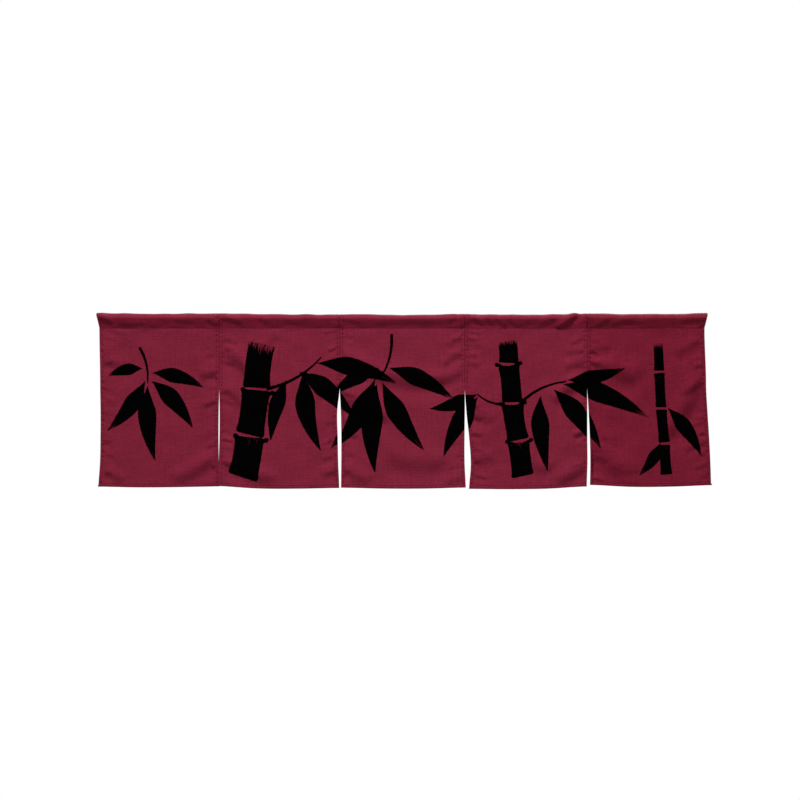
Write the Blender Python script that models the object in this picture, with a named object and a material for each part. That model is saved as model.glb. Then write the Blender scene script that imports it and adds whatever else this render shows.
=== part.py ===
"""A noren: a short shop curtain of five cloth panels, sewn side by side and hung from a sleeve for a rod.

Metres, +Z up. X runs along the rod, the front of the cloth faces -Y, and the origin is the middle of the top
edge. The tables are in millimetres.
"""
import math
from collections import namedtuple

import bmesh
import bpy

MM = 0.001

# Cloth and hems
CLOTH_THICKNESS = 1.5 * MM
HEM_THICKNESS = 2.6 * MM
SIDE_HEM_WIDTH = 8.0 * MM
FOOT_HEM_WIDTH = 11.0 * MM
HEM_STEP = 1.5 * MM
SEWN_GAP = 0.3 * MM

# Heights below the top edge
STITCH_LINE = -38.8 * MM
SLIT_TOP = -205.0 * MM
FOOT_LINE = -490.9 * MM

# Sleeve for the rod: round over the rod, with straight walls that meet at the stitch line
SLEEVE_RADIUS = 14.5 * MM
SLEEVE_WALL = 1.3 * MM
SLEEVE_FOOT_WIDTH = 3.0 * MM
SLEEVE_FOOT_DEPTH = 2.5 * MM
SLEEVE_ARC_STEPS = 12
SLEEVE_STATIONS = 44
SLEEVE_TOP_HALF_LENGTH = 877.4 * MM
LEFT_END_SLANT = 9.3 * MM
RIGHT_END_SLANT = 9.5 * MM

# How finely a panel is divided between its hems
PANEL_COLUMNS = 16
PANEL_ROWS = 19

CLOTH_COLOUR = (0.188, 0.016, 0.037, 1.0)
CLOTH_ROUGHNESS = 0.85
SHARP_ANGLE = math.radians(40.0)

# Lines on which the panels begin and end, from the left end of the curtain to its right end
SEAM_LINES = (-868.1, -524.2, -178.5, 180.2, 531.3, 867.9)

# How far a panel's edge strays from its line, from the top of the slit down to the foot
Stray = namedtuple("Stray", "slit_top quarter half three_quarters foot")
LEFT_EDGES = (
    Stray(2.1, 3.1, 2.9, 1.6, -3.2),
    Stray(0.15, 1.1, 0.8, -1.1, -2.6),
    Stray(0.15, 3.2, 4.6, 4.4, 3.7),
    Stray(0.3, 5.0, 12.8, 17.5, 12.4),
    Stray(0.3, 4.1, 7.5, 9.1, 8.1),
)
RIGHT_EDGES = (
    Stray(-0.15, -1.8, -2.4, -1.6, -0.9),
    Stray(-0.3, -7.4, -6.1, -4.7, -1.7),
    Stray(-0.3, 0.0, -0.9, -0.7, 2.6),
    Stray(-0.3, 0.1, 0.1, 0.7, -1.4),
    Stray(5.0, 9.1, 14.0, 17.8, 20.1),
)

# Height of a panel's foot across its width, relative to the foot line
Foot = namedtuple("Foot", "left third two_thirds right")
FEET = (
    Foot(-2.0, -4.0, -3.3, -1.3),
    Foot(-0.3, -7.3, -7.7, -5.9),
    Foot(-4.9, -7.6, -7.7, -4.6),
    Foot(-8.4, -9.2, -7.6, -1.5),
    Foot(3.1, -2.6, -2.1, 2.0),
)

# How far a panel's foot hangs behind the rod line
Hang = namedtuple("Hang", "left middle right")
HANGS = (
    Hang(3.0, -5.0, 3.2),
    Hang(-3.2, -7.0, 5.0),
    Hang(-3.0, 2.0, -4.0),
    Hang(6.0, -6.0, -3.0),
    Hang(-4.0, 5.0, 17.0),
)

# Height of the sleeve's top edge along the rod
TopEdge = namedtuple("TopEdge", "x height")
TOP_EDGE = (
    TopEdge(-875.0, 5.2),
    TopEdge(-690.0, 3.4),
    TopEdge(-610.0, 4.3),
    TopEdge(-480.0, 4.0),
    TopEdge(-290.0, 1.1),
    TopEdge(-130.0, 2.0),
    TopEdge(0.0, 0.0),
    TopEdge(165.0, 2.6),
    TopEdge(310.0, 0.9),
    TopEdge(480.0, 1.6),
    TopEdge(525.0, 4.3),
    TopEdge(630.0, 2.6),
    TopEdge(765.0, 3.2),
    TopEdge(875.0, 5.0),
)

# Main folds. Each runs from its left end to its right end and bows down by bend at its middle. It is a ridge
# above its line and a trough below it: reach is how far off the line they peak, depth how much.
Fold = namedtuple("Fold", "panel left_x left_z right_x right_z bend reach depth")
FOLDS = (
    Fold(1, -845, -135, -805, -150, 0, 13, 1.6),
    Fold(1, -848, -455, -800, -480, 0, 14, 2.0),
    Fold(1, -650, -478, -536, -416, 6, 18, 3.6),
    Fold(1, -580, -180, -530, -172, 0, 15, 2.4),
    Fold(2, -506, -112, -396, -214, -4, 18, 3.8),
    Fold(2, -508, -215, -430, -292, 0, 17, 2.4),
    Fold(2, -512, -424, -372, -478, 10, 18, 4.2),
    Fold(2, -240, -236, -196, -212, 0, 14, 2.4),
    Fold(2, -226, -464, -184, -448, 0, 14, 2.2),
    Fold(3, -172, -122, 108, -196, 30, 22, 3.6),
    Fold(3, -170, -226, 20, -318, 18, 18, 3.8),
    Fold(3, 96, -196, 172, -166, 6, 16, 2.8),
    Fold(3, -40, -418, 110, -436, 14, 24, 3.4),
    Fold(3, -168, -448, -96, -486, 4, 15, 2.6),
    Fold(4, 196, -268, 262, -306, 6, 18, 3.0),
    Fold(4, 348, -418, 430, -446, 10, 20, 2.6),
    Fold(4, 440, -252, 524, -192, -4, 17, 4.4),
    Fold(4, 468, -154, 522, -140, 0, 14, 2.4),
    Fold(4, 452, -486, 526, -442, 0, 16, 3.6),
    Fold(5, 540, -104, 598, -98, 0, 14, 2.2),
    Fold(5, 542, -186, 652, -214, -8, 24, 4.4),
    Fold(5, 540, -372, 662, -474, 12, 24, 4.2),
    Fold(5, 786, -118, 852, -84, 0, 16, 2.8),
    Fold(5, 756, -362, 858, -190, 10, 22, 4.0),
)
FOLD_FADE = 0.3
FOLD_CLEAR_OF_EDGE = 16.0 * MM


def ease(value):
    """0 below 0, 1 above 1, and a smooth rise between."""
    value = min(max(value, 0.0), 1.0)
    return value * value * (3.0 - 2.0 * value)


def curve_through(values, share):
    """The height at share (0 to 1) of a smooth curve through evenly spaced values."""
    last = len(values) - 1
    place = min(max(share, 0.0), 1.0) * last
    start = min(int(place), last - 1)
    t = place - start
    before = values[max(start - 1, 0)]
    first, second = values[start], values[start + 1]
    after = values[min(start + 2, last)]
    return 0.5 * (2.0 * first + (second - before) * t
                  + (2.0 * before - 5.0 * first + 4.0 * second - after) * t ** 2
                  + (3.0 * (first - second) + after - before) * t ** 3)


def top_edge_height(x):
    for left, right in zip(TOP_EDGE, TOP_EDGE[1:]):
        if x <= right.x * MM:
            share = (x / MM - left.x) / (right.x - left.x)
            return (left.height + (right.height - left.height) * ease(share)) * MM
    return TOP_EDGE[-1].height * MM


def edge_x(seam, stray, z):
    """Where a panel's edge is at a height: straight down to the top of the slit, then free."""
    if z >= SLIT_TOP:
        share = (STITCH_LINE - z) / (STITCH_LINE - SLIT_TOP)
        first = math.copysign(SEWN_GAP / MM / 2.0, stray.slit_top)
        return (seam + first + (stray.slit_top - first) * share) * MM
    return (seam + curve_through(stray, (SLIT_TOP - z) / (SLIT_TOP - FOOT_LINE))) * MM


def fold_offset(fold, x, z):
    """How far one fold moves the cloth back at a point."""
    run_x, run_z = (fold.right_x - fold.left_x) * MM, (fold.right_z - fold.left_z) * MM
    length = math.hypot(run_x, run_z)
    from_x, from_z = x - fold.left_x * MM, z - fold.left_z * MM
    along = (from_x * run_x + from_z * run_z) / length ** 2
    below = (from_x * run_z - from_z * run_x) / length
    below -= fold.bend * MM * 4.0 * along * (1.0 - along)
    strength = ease((along + FOLD_FADE / 2.0) / FOLD_FADE) * ease((1.0 + FOLD_FADE / 2.0 - along) / FOLD_FADE)
    reach = fold.reach * MM
    return fold.depth * MM * strength * below / reach * math.exp(0.5 - 0.5 * (below / reach) ** 2)


def cloth_y(panel, share, x, z, edge_distance):
    """How far behind the rod line a panel's front face is at a point."""
    hang = HANGS[panel - 1]
    drop = (STITCH_LINE - z) / (STITCH_LINE - FOOT_LINE)
    free = ease((SLIT_TOP - z) / (SLIT_TOP - FOOT_LINE))
    left_free = ease(drop) if panel == 1 else free
    right_free = ease(drop) if panel == len(HANGS) else free
    offset = hang.left * left_free * (1.0 - share) * (1.0 - 2.0 * share)
    offset += hang.middle * ease(drop) * 4.0 * share * (1.0 - share)
    offset += hang.right * right_free * share * (2.0 * share - 1.0)
    folds = sum(fold_offset(fold, x, z) for fold in FOLDS if fold.panel == panel)
    head = ease((STITCH_LINE - z) / FOLD_CLEAR_OF_EDGE)
    return offset * MM + folds * head * ease(edge_distance / FOLD_CLEAR_OF_EDGE)


def stops(length, first_hem, last_hem, count):
    """Distances from one edge to the other, with a stop at each side of a hem's inner edge."""
    start = first_hem + HEM_STEP if first_hem else 0.0
    end = length - last_hem - HEM_STEP
    inner = [start + (end - start) * i / count for i in range(count + 1)]
    return ([0.0, first_hem] if first_hem else []) + inner + [length - last_hem, length]


def panel_grids(panel):
    """The front and the back of one panel as rows of points, from its head to its foot."""
    front, back = [], []
    left_line, right_line = SEAM_LINES[panel - 1], SEAM_LINES[panel]
    foot = FEET[panel - 1]
    head = STITCH_LINE - SEWN_GAP
    for drop in stops(head - FOOT_LINE, 0.0, FOOT_HEM_WIDTH, PANEL_ROWS):
        level = head - drop
        left = edge_x(left_line, LEFT_EDGES[panel - 1], level)
        right = edge_x(right_line, RIGHT_EDGES[panel - 1], level)
        front_row, back_row = [], []
        for across in stops(right - left, SIDE_HEM_WIDTH, SIDE_HEM_WIDTH, PANEL_COLUMNS):
            share = across / (right - left)
            edge_distance = min(across, right - left - across)
            z = level + curve_through(foot, share) * MM * ease(drop / (head - FOOT_LINE))
            x = left + across
            y = cloth_y(panel, share, x, z, edge_distance) - SLEEVE_FOOT_WIDTH / 2.0
            in_side_hem = edge_distance <= SIDE_HEM_WIDTH
            in_foot_hem = head - FOOT_LINE - drop <= FOOT_HEM_WIDTH + HEM_STEP / 2.0
            thickness = HEM_THICKNESS if in_side_hem or in_foot_hem else CLOTH_THICKNESS
            front_row.append((x, y, z))
            back_row.append((x, y + thickness, z))
        front.append(front_row)
        back.append(back_row)
    return front, back


def sleeve_section(radius, foot_half_width, foot_lift):
    """Section of one wall of the sleeve as (y, drop) pairs, drop measured down from the sleeve's top."""
    reach = -STITCH_LINE - foot_lift - SLEEVE_RADIUS
    below_level = math.asin(radius / reach)
    first, last = -below_level, math.pi + below_level
    points = []
    for i in range(SLEEVE_ARC_STEPS + 1):
        angle = first + (last - first) * i / SLEEVE_ARC_STEPS
        points.append((radius * math.cos(angle), SLEEVE_RADIUS - radius * math.sin(angle)))
    points.append((-foot_half_width, -STITCH_LINE - foot_lift))
    points.append((foot_half_width, -STITCH_LINE - foot_lift))
    return points


def sleeve_ring(share, section):
    """One ring of the sleeve at share (0 to 1) of its length."""
    ring = []
    station = SLEEVE_TOP_HALF_LENGTH * (2.0 * share - 1.0)
    top = top_edge_height(station)
    for y, drop in section:
        lower = drop / -STITCH_LINE
        left = -SLEEVE_TOP_HALF_LENGTH + LEFT_END_SLANT * lower
        right = SLEEVE_TOP_HALF_LENGTH - RIGHT_END_SLANT * lower
        ring.append((left + (right - left) * share, y, top * (1.0 - lower) - drop))
    return ring


def add_loops(mesh, loops):
    return [[mesh.verts.new(point) for point in loop] for loop in loops]


def join_loops(mesh, first, second, closed):
    """Faces between two rows or rings of vertices."""
    pairs = list(zip(range(len(first)), range(1, len(first))))
    if closed:
        pairs.append((len(first) - 1, 0))
    for a, b in pairs:
        mesh.faces.new((first[a], first[b], second[b], second[a]))


def cloth_material(name):
    material = bpy.data.materials.new(name)
    material.use_nodes = True
    shader = material.node_tree.nodes["Principled BSDF"]
    shader.inputs["Base Color"].default_value = CLOTH_COLOUR
    shader.inputs["Roughness"].default_value = CLOTH_ROUGHNESS
    shader.inputs["Metallic"].default_value = 0.0
    material.diffuse_color = CLOTH_COLOUR
    return material


def finish_object(name, mesh_builder):
    """Turn a closed bmesh into an object with its own material."""
    bmesh.ops.recalc_face_normals(mesh_builder, faces=mesh_builder.faces)
    mesh = bpy.data.meshes.new(name)
    mesh_builder.to_mesh(mesh)
    mesh_builder.free()
    mesh.shade_smooth()
    mesh.set_sharp_from_angle(angle=SHARP_ANGLE)
    mesh.materials.append(cloth_material(name + "_cloth"))
    made = bpy.data.objects.new(name, mesh)
    bpy.context.scene.collection.objects.link(made)
    return made


def make_panel(panel):
    front_grid, back_grid = panel_grids(panel)
    mesh = bmesh.new()
    front = add_loops(mesh, front_grid)
    back = add_loops(mesh, back_grid)
    for rows in (front, back):
        for upper, lower in zip(rows, rows[1:]):
            join_loops(mesh, upper, lower, closed=False)
    join_loops(mesh, front[0], back[0], closed=False)
    join_loops(mesh, front[-1], back[-1], closed=False)
    for side in (0, -1):
        join_loops(mesh, [row[side] for row in front], [row[side] for row in back], closed=False)
    return finish_object(f"panel_{panel}", mesh)


def make_rod_sleeve():
    outer_section = sleeve_section(SLEEVE_RADIUS, SLEEVE_FOOT_WIDTH / 2.0, 0.0)
    inner_section = sleeve_section(SLEEVE_RADIUS - SLEEVE_WALL, SEWN_GAP / 2.0, SLEEVE_FOOT_DEPTH)
    mesh = bmesh.new()
    shares = [i / SLEEVE_STATIONS for i in range(SLEEVE_STATIONS + 1)]
    outer = add_loops(mesh, [sleeve_ring(share, outer_section) for share in shares])
    inner = add_loops(mesh, [sleeve_ring(share, inner_section) for share in shares])
    for rings in (outer, inner):
        for first, second in zip(rings, rings[1:]):
            join_loops(mesh, first, second, closed=True)
    join_loops(mesh, outer[0], inner[0], closed=True)
    join_loops(mesh, outer[-1], inner[-1], closed=True)
    return finish_object("rod_sleeve", mesh)


for old in list(bpy.data.objects):
    bpy.data.objects.remove(old, do_unlink=True)
curtain = bpy.data.objects.new("noren", None)
bpy.context.scene.collection.objects.link(curtain)
pieces = [make_panel(number) for number in range(1, len(HANGS) + 1)]
pieces.append(make_rod_sleeve())
for piece in pieces:
    piece.parent = curtain
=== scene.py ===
"""Looks of the noren: five printed cloth panels, the rod sleeve along their heads, and the stitching.

Metres in the scene, +Z up, the front facing -Y. The tables and the arrays of points are in
millimetres, and the sizes shared with the solids repeat theirs.
"""
import math
from collections import namedtuple
from functools import reduce

import bpy
import numpy as np
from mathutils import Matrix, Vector


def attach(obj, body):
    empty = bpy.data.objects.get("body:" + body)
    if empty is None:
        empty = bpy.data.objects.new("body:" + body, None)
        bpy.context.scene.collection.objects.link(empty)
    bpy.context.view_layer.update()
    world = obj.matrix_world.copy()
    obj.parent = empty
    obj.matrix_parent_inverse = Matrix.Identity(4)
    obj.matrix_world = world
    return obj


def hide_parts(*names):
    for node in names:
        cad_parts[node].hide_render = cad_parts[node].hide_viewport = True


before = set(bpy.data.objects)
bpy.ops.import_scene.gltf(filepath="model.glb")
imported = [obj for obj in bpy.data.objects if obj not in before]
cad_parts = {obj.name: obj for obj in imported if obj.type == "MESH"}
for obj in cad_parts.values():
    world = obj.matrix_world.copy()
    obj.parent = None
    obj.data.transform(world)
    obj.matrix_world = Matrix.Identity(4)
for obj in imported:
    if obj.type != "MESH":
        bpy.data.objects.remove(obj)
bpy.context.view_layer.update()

MM = 0.001

# Cloth and hems
CLOTH = 0.8
HEM = 2.2
EDGE_ROUND = 2.4
EDGE_ROUND_LIMIT = 0.97
HEM_LEDGE = 9.3
HEM_LEDGE_RUN = 1.4
HEM_PROUD = 0.5
EDGE_CURL = 1.1
EDGE_CURL_RUN = 8.0
SEWN_CURL = 0.35
SIDE_STITCH = 7.6
FOOT_STITCH = 8.6
STITCH_GROOVE = 0.5
STITCH_GROOVE_WIDTH = 1.1
SEAM_OVERLAP = 0.1
SEAM_DEPTH = 1.6
SEAM_WIDTH = 1.5
SEAM_FADE = 12.0
FAR_FROM_SEAM = 99.0
FRONT_Y = -1.5

# Dimples that the thread draws in along a stitch row, made uneven by two longer waves
DIMPLE_DEPTH = 2.0
DIMPLE_REACH_TO_EDGE = 6.5
DIMPLE_REACH_TO_CLOTH = 4.0
BEAT_PITCH = 15.0
DRIFT_PITCH = 47.0
SWELL_PITCH = 97.0
DRIFT_PHASE = 2.3
SWELL_PHASE = 4.1
DRIFT_SHARE = 1.3
SWELL_LEVEL = 0.8
SWELL_SHARE = 0.4
FOOT_PULL = 0.4

# Heights below the top edge
STITCH_LINE = -38.8
SLIT_TOP = -205.0
FOOT_LINE = -490.9
PANEL_HEAD = -38.1

# Sleeve
SLEEVE_RADIUS = 14.5
SLEEVE_RISE = 12.5
FRONT_BELLY = 1.07
REAR_BELLY = 1.15
SLEEVE_PULL = 0.8
TAUT_OVER_ROD = 0.75
OVER_TOP = 0.5
END_CURL = 2.4
END_CURL_RUN = 6.0
SLEEVE_HALF_LENGTH = 877.4
LEFT_END_SLANT = 9.3
RIGHT_END_SLANT = 9.5
SLEEVE_HEM = 1.6
SLEEVE_EDGE_CURL = 0.3
SLEEVE_SEWN_RUN = 8.0
SLEEVE_RIPPLE_SQUEEZE = 1.7
LEAST_THICKNESS = 0.2
TAIL_END = -44.5
TAIL_THICKNESS = 1.7
TAIL_GAP = 0.1
TAIL_RISE = 0.6
TAIL_BLEND = 2.0
TAIL_ROUND = 0.8
TAIL_ROUND_LIMIT = 0.94
TAIL_HEM_RUN = 3.0

# Grid spacing between the hems, the finer steps over a hem, and the points along the sleeve's section
GRID_STEP = 3.2
LEVEL_STEP = 2.5
HEM_STOPS = (0.0, 0.3, 0.9, 1.6, 2.4, 3.6, 5.0, 6.6, 7.6, 8.6, 9.3, 9.8, 10.3, 10.8, 12.4)
FRONT_WALL_POINTS = 16
ARC_POINTS = 34
REAR_WALL_POINTS = 12
TAIL_POINTS = 8
CROWDING_AT_FOOT = 1.7

# Lines on which the panels begin and end, from the left end of the curtain to its right end
SEAM_LINES = (-868.1, -524.2, -178.5, 180.2, 531.3, 867.9)

# How far a panel's edge strays from its line, from the top of the slit down to the foot
Stray = namedtuple("Stray", "slit_top quarter half three_quarters foot")
LEFT_EDGES = (
    Stray(2.1, 3.1, 2.9, 1.6, -3.2),
    Stray(0.0, 1.1, 0.8, -1.1, -2.6),
    Stray(0.0, 3.2, 4.6, 4.4, 3.7),
    Stray(0.0, 5.0, 12.8, 17.5, 12.4),
    Stray(0.0, 4.1, 7.5, 9.1, 8.1),
)
RIGHT_EDGES = (
    Stray(0.0, -1.8, -2.4, -1.6, -0.9),
    Stray(0.0, -7.4, -6.1, -4.7, -1.7),
    Stray(0.0, 0.0, -0.9, -0.7, 2.6),
    Stray(0.0, 0.1, 0.1, 0.7, -1.4),
    Stray(5.0, 9.1, 14.0, 17.8, 20.1),
)
LEFT_EAR = -1.6
RIGHT_EAR = 3.2
EAR_HEIGHT = 11.0

# Height of a panel's foot across its width, relative to the foot line
Foot = namedtuple("Foot", "left third two_thirds right")
FEET = (
    Foot(-2.0, -4.0, -3.3, -1.3),
    Foot(-0.3, -7.3, -7.7, -5.9),
    Foot(-4.9, -7.6, -7.7, -4.6),
    Foot(-8.4, -9.2, -7.6, -1.5),
    Foot(3.1, -2.6, -2.1, 2.0),
)

# How far a panel's foot hangs behind the rod line
Hang = namedtuple("Hang", "left middle right")
HANGS = (
    Hang(3.0, -5.0, 3.2),
    Hang(-3.2, -7.0, 5.0),
    Hang(-3.0, 2.0, -4.0),
    Hang(6.0, -6.0, -3.0),
    Hang(-4.0, 5.0, 17.0),
)

# Height of the sleeve's top edge along the rod
TopEdge = namedtuple("TopEdge", "x height")
TOP_EDGE = (
    TopEdge(-875.0, 5.2),
    TopEdge(-690.0, 3.4),
    TopEdge(-610.0, 4.3),
    TopEdge(-480.0, 4.0),
    TopEdge(-290.0, 1.1),
    TopEdge(-130.0, 2.0),
    TopEdge(0.0, 0.0),
    TopEdge(165.0, 2.6),
    TopEdge(310.0, 0.9),
    TopEdge(480.0, 1.6),
    TopEdge(525.0, 4.3),
    TopEdge(630.0, 2.6),
    TopEdge(765.0, 3.2),
    TopEdge(875.0, 5.0),
)

# Folds. Each runs from its left end to its right end and bows down by bend at its middle. It is a ridge
# above its line and a trough below it: reach is how far off the line they peak, depth how much.
Fold = namedtuple("Fold", "panel left_x left_z right_x right_z bend reach depth")
FOLDS = (
    Fold(1, -845, -135, -805, -150, 0, 13, 2.2),
    Fold(1, -848, -455, -800, -480, 0, 14, 3.0),
    Fold(1, -650, -478, -536, -416, 6, 18, 5.2),
    Fold(1, -580, -180, -530, -172, 0, 15, 3.6),
    Fold(2, -506, -112, -396, -214, -4, 19, 6.6),
    Fold(2, -508, -215, -430, -292, 0, 17, 4.2),
    Fold(2, -512, -424, -372, -478, 10, 18, 6.0),
    Fold(2, -240, -236, -196, -212, 0, 14, 3.4),
    Fold(2, -226, -464, -184, -448, 0, 14, 3.0),
    Fold(3, -172, -122, 108, -196, 30, 23, 6.6),
    Fold(3, -170, -226, -40, -306, 12, 20, 6.6),
    Fold(3, 96, -196, 172, -166, 6, 16, 4.2),
    Fold(3, -40, -412, 118, -430, 16, 26, 6.2),
    Fold(3, -168, -444, -96, -484, 4, 16, 4.6),
    Fold(4, 196, -268, 262, -306, 6, 18, 4.2),
    Fold(4, 348, -418, 430, -446, 10, 20, 3.6),
    Fold(4, 440, -252, 524, -192, -4, 17, 6.4),
    Fold(4, 468, -154, 522, -140, 0, 14, 3.4),
    Fold(4, 452, -486, 526, -442, 0, 16, 5.2),
    Fold(5, 540, -104, 598, -98, 0, 14, 3.2),
    Fold(5, 542, -160, 672, -196, -8, 27, 8.6),
    Fold(5, 540, -366, 652, -466, 14, 26, 8.0),
    Fold(5, 786, -118, 852, -84, 0, 16, 3.6),
    Fold(5, 760, -356, 858, -184, 10, 23, 7.0),
)

# Smaller folds, in the same form
SMALL_FOLDS = (
    Fold(1, -836, -44, -798, -56, 0, 9, 1.4),
    Fold(1, -852, -250, -822, -258, 0, 9, 1.2),
    Fold(1, -560, -214, -532, -208, 0, 8, 2.0),
    Fold(1, -566, -262, -532, -250, 0, 8, 1.8),
    Fold(2, -510, -70, -472, -84, 0, 9, 1.6),
    Fold(2, -400, -96, -350, -60, 0, 12, 1.2),
    Fold(3, 120, -146, 170, -112, 0, 11, 2.6),
    Fold(3, 126, -88, 170, -78, 0, 9, 1.4),
    Fold(3, 128, -486, 172, -466, 0, 10, 1.8),
    Fold(3, -172, -300, -132, -318, 0, 9, 1.4),
    Fold(4, 190, -84, 226, -92, 0, 9, 1.4),
    Fold(4, 200, -292, 230, -302, 0, 8, 2.2),
    Fold(4, 202, -340, 228, -348, 0, 8, 2.6),
    Fold(4, 206, -424, 262, -414, 0, 16, 3.0),
    Fold(4, 496, -348, 526, -336, 0, 8, 2.8),
    Fold(4, 470, -112, 522, -104, 0, 10, 1.6),
    Fold(5, 540, -140, 566, -150, 0, 7, 1.6),
    Fold(5, 548, -330, 600, -366, 0, 12, 2.4),
    Fold(5, 616, -478, 676, -484, 0, 9, 1.6),
    Fold(5, 808, -230, 862, -196, 0, 11, 2.6),
    Fold(5, 820, -330, 868, -304, 0, 9, 1.8),
    Fold(5, 812, -392, 872, -366, 0, 9, 1.8),
)
FOLD_FADE = 0.3
FOLD_CLEAR_OF_EDGE = 12.0

# Heights of the small puckers that the stitching draws into a panel beside its left and its right hem
LEFT_PUCKERS = (
    (-66, -139, -214, -240, -277, -303, -323, -344, -363, -400, -455),
    (-72, -100, -140, -222, -246, -300, -330, -358, -382, -424),
    (-62, -80, -128, -188, -226, -262, -340, -400, -452),
    (-50, -70, -92, -118, -140, -262, -300, -346, -384, -420, -462),
    (-76, -104, -138, -202, -330, -352, -380, -410, -440, -470),
)
RIGHT_PUCKERS = (
    (-60, -116, -140, -168, -198, -224, -254, -345, -372, -418, -438),
    (-48, -68, -96, -130, -210, -250, -310, -360, -410, -452),
    (-66, -90, -116, -144, -172, -330, -366, -404, -432, -474),
    (-68, -80, -106, -146, -162, -192, -260, -340, -370, -430),
    (-76, -122, -146, -190, -226, -295, -340, -370, -400, -430, -462),
)
PUCKER_STARTS = (0.0, 9.0)
PUCKER_LENGTHS = (12.0, 34.0)
PUCKER_FALLS = (0.05, 0.5)
PUCKER_REACHES = (4.6, 9.0)
PUCKER_DEPTHS = (0.5, 2.3)
PUCKER_SEED = 11

# Broad unevenness of the whole cloth
RIPPLE_WAVES = 14
RIPPLE_LENGTHS = (60.0, 240.0)
RIPPLE_HEIGHT = 0.3
RIPPLE_SEED = 5

# Creases in the sleeve's front wall, in the same form as the folds; z is the height on the wall
Crease = namedtuple("Crease", "left_x left_z right_x right_z bend reach depth")
SLEEVE_CREASES = (
    Crease(-868, -8, -832, -24, 0, 7, 3.0),
    Crease(-810, -28, -735, -30, 0, 8, 1.6),
    Crease(-650, -18, -600, -22, 0, 8, 1.8),
    Crease(-560, -16, -534, -30, 0, 7, 2.0),
    Crease(-516, -10, -462, -24, 0, 8, 2.8),
    Crease(-412, -12, -378, -26, 0, 7, 1.4),
    Crease(-335, -20, -290, -26, 0, 8, 1.6),
    Crease(-170, -18, -120, -24, 0, 8, 1.4),
    Crease(-77, -26, -6, -24, 0, 8, 1.4),
    Crease(10, -20, 118, -24, 0, 9, 1.6),
    Crease(126, -22, 158, -12, 0, 8, 2.0),
    Crease(200, -12, 236, -28, 0, 8, 3.0),
    Crease(240, -10, 262, -32, 0, 7, 2.4),
    Crease(272, -12, 290, -34, 0, 8, 3.2),
    Crease(306, -12, 328, -34, 0, 7, 2.0),
    Crease(350, -20, 384, -24, 0, 8, 1.4),
    Crease(398, -26, 440, -14, 0, 8, 2.4),
    Crease(446, -41, 510, 3, 0, 8, 5.6),
    Crease(556, -34, 590, -16, 0, 8, 2.6),
    Crease(604, -30, 640, -18, 0, 7, 2.0),
    Crease(640, -20, 700, -24, 0, 9, 1.6),
    Crease(800, -20, 868, -16, 0, 9, 1.8),
)

# Brush strokes of the print: bamboo stems in lengths with their joints, twigs, and leaves. Each starts at
# x, z and runs at angle (0 to the right, 90 up); bend bows it to its left; dry is how far the brush runs dry.
Stroke = namedtuple("Stroke", "kind x z angle length width bend dry")
STROKES = (
    Stroke("stem", -455, -462, 81, 118, 82, -3, 0.25),
    Stroke("stem", -436, -340, 82, 128, 78, -2, 0.0),
    Stroke("stem", -417, -207, 83, 126, 74, 3, 0.55),
    Stroke("joint", -478, -344, -6, 92, 14, -9, 0.0),
    Stroke("joint", -457, -212, -6, 86, 13, -9, 0.0),
    Stroke("twig", -384, -209, 30, 175, 10, -14, 0.2),
    Stroke("leaf", -300, -160, -40, 215, 54, 14, 0.15),
    Stroke("leaf", -284, -158, -76, 238, 58, -14, 0.25),
    Stroke("leaf", -250, -138, -14, 250, 52, 16, 0.4),
    Stroke("leaf", -330, -180, -104, 185, 46, -8, 0.2),
    Stroke("twig", -30, -58, -104, 120, 9, 10, 0.1),
    Stroke("leaf", -62, -150, -150, 165, 44, -10, 0.3),
    Stroke("leaf", -76, -178, -122, 240, 60, 14, 0.35),
    Stroke("leaf", -70, -190, -92, 262, 64, -16, 0.2),
    Stroke("leaf", -58, -186, -58, 236, 58, -12, 0.35),
    Stroke("leaf", -44, -150, -26, 222, 50, 14, 0.5),
    Stroke("stem", 338, -454, 97, 96, 62, 2, 0.3),
    Stroke("stem", 326, -352, 96, 99, 60, 2, 0.0),
    Stroke("stem", 315, -247, 95, 103, 56, -2, 0.0),
    Stroke("stem", 306, -137, 94, 64, 54, -2, 0.6),
    Stroke("joint", 292, -357, 4, 72, 12, -8, 0.0),
    Stroke("joint", 281, -252, 4, 70, 12, -8, 0.0),
    Stroke("joint", 272, -142, 4, 68, 12, -8, 0.0),
    Stroke("twig", 340, -248, 24, 142, 9, 12, 0.0),
    Stroke("leaf", 430, -208, -54, 225, 56, 14, 0.3),
    Stroke("leaf", 455, -196, -22, 275, 58, 16, 0.5),
    Stroke("leaf", 398, -222, -86, 225, 54, -12, 0.2),
    Stroke("leaf", 470, -186, 12, 180, 42, -10, 0.5),
    Stroke("twig", 290, -252, 160, 78, 8, 8, 0.0),
    Stroke("leaf", 218, -222, -163, 150, 42, 10, 0.35),
    Stroke("leaf", 220, -228, -120, 205, 52, -10, 0.3),
    Stroke("stem", 744, -456, 92, 86, 30, 1, 0.2),
    Stroke("stem", 741, -364, 92, 94, 29, 1, 0.0),
    Stroke("stem", 737, -264, 91, 98, 28, -1, 0.1),
    Stroke("stem", 735, -160, 91, 80, 27, -1, 0.6),
    Stroke("leaf", 752, -262, -58, 176, 44, 10, 0.35),
    Stroke("leaf", 730, -362, -124, 118, 34, 8, 0.3),
    Stroke("twig", -752, -96, -78, 100, 9, 8, 0.1),
    Stroke("leaf", -724, -186, -48, 190, 50, 12, 0.3),
    Stroke("leaf", -730, -196, -84, 225, 54, -12, 0.25),
    Stroke("leaf", -736, -184, -128, 190, 48, 12, 0.4),
    Stroke("leaf", -722, -166, -16, 165, 42, 12, 0.5),
    Stroke("leaf", -742, -154, -168, 110, 34, -8, 0.4),
)
STROKE_SAMPLES = 28
LEAF_SHOULDER = 0.4
LEAF_SWELL = 0.8
LEAF_TAPER = 1.4
STEM_FLARE = 0.16
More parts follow.
